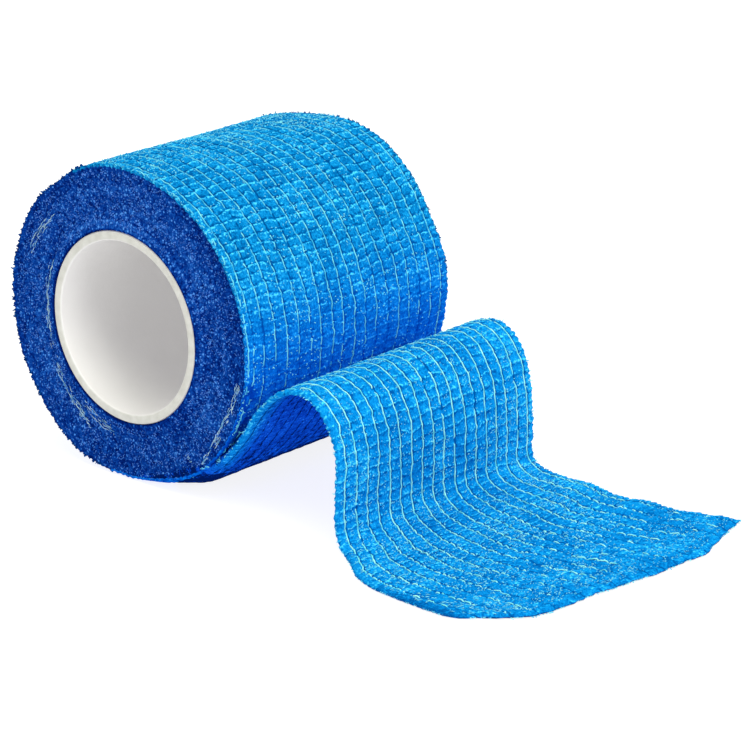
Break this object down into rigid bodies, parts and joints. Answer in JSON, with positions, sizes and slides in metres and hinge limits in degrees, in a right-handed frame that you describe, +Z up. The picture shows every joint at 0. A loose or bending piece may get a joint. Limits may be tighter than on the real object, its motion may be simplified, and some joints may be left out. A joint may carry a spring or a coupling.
{
  "type": "cohesive bandage roll",
  "caption": "Crinkled blue self-adhering bandage wound on a white core tube, its loose end looped over and lying flat.",
  "frame": {"origin": "on the surface that the roll rests on, right under the core's axis and midway along it", "axes": "+Z up; +Y along the core; +X the way the loose end runs out from the roll"},
  "size_m": [0.1198, 0.06, 0.0547],
  "materials": {
    "cloth": "crinkled nonwoven, matt, with fine pale elastic threads",
    "core": "smooth, off-white, slight sheen"
  },
  "bodies": {
    "root": {"bandage": "cloth", "core": "core"}
  },
  "joints": []
}
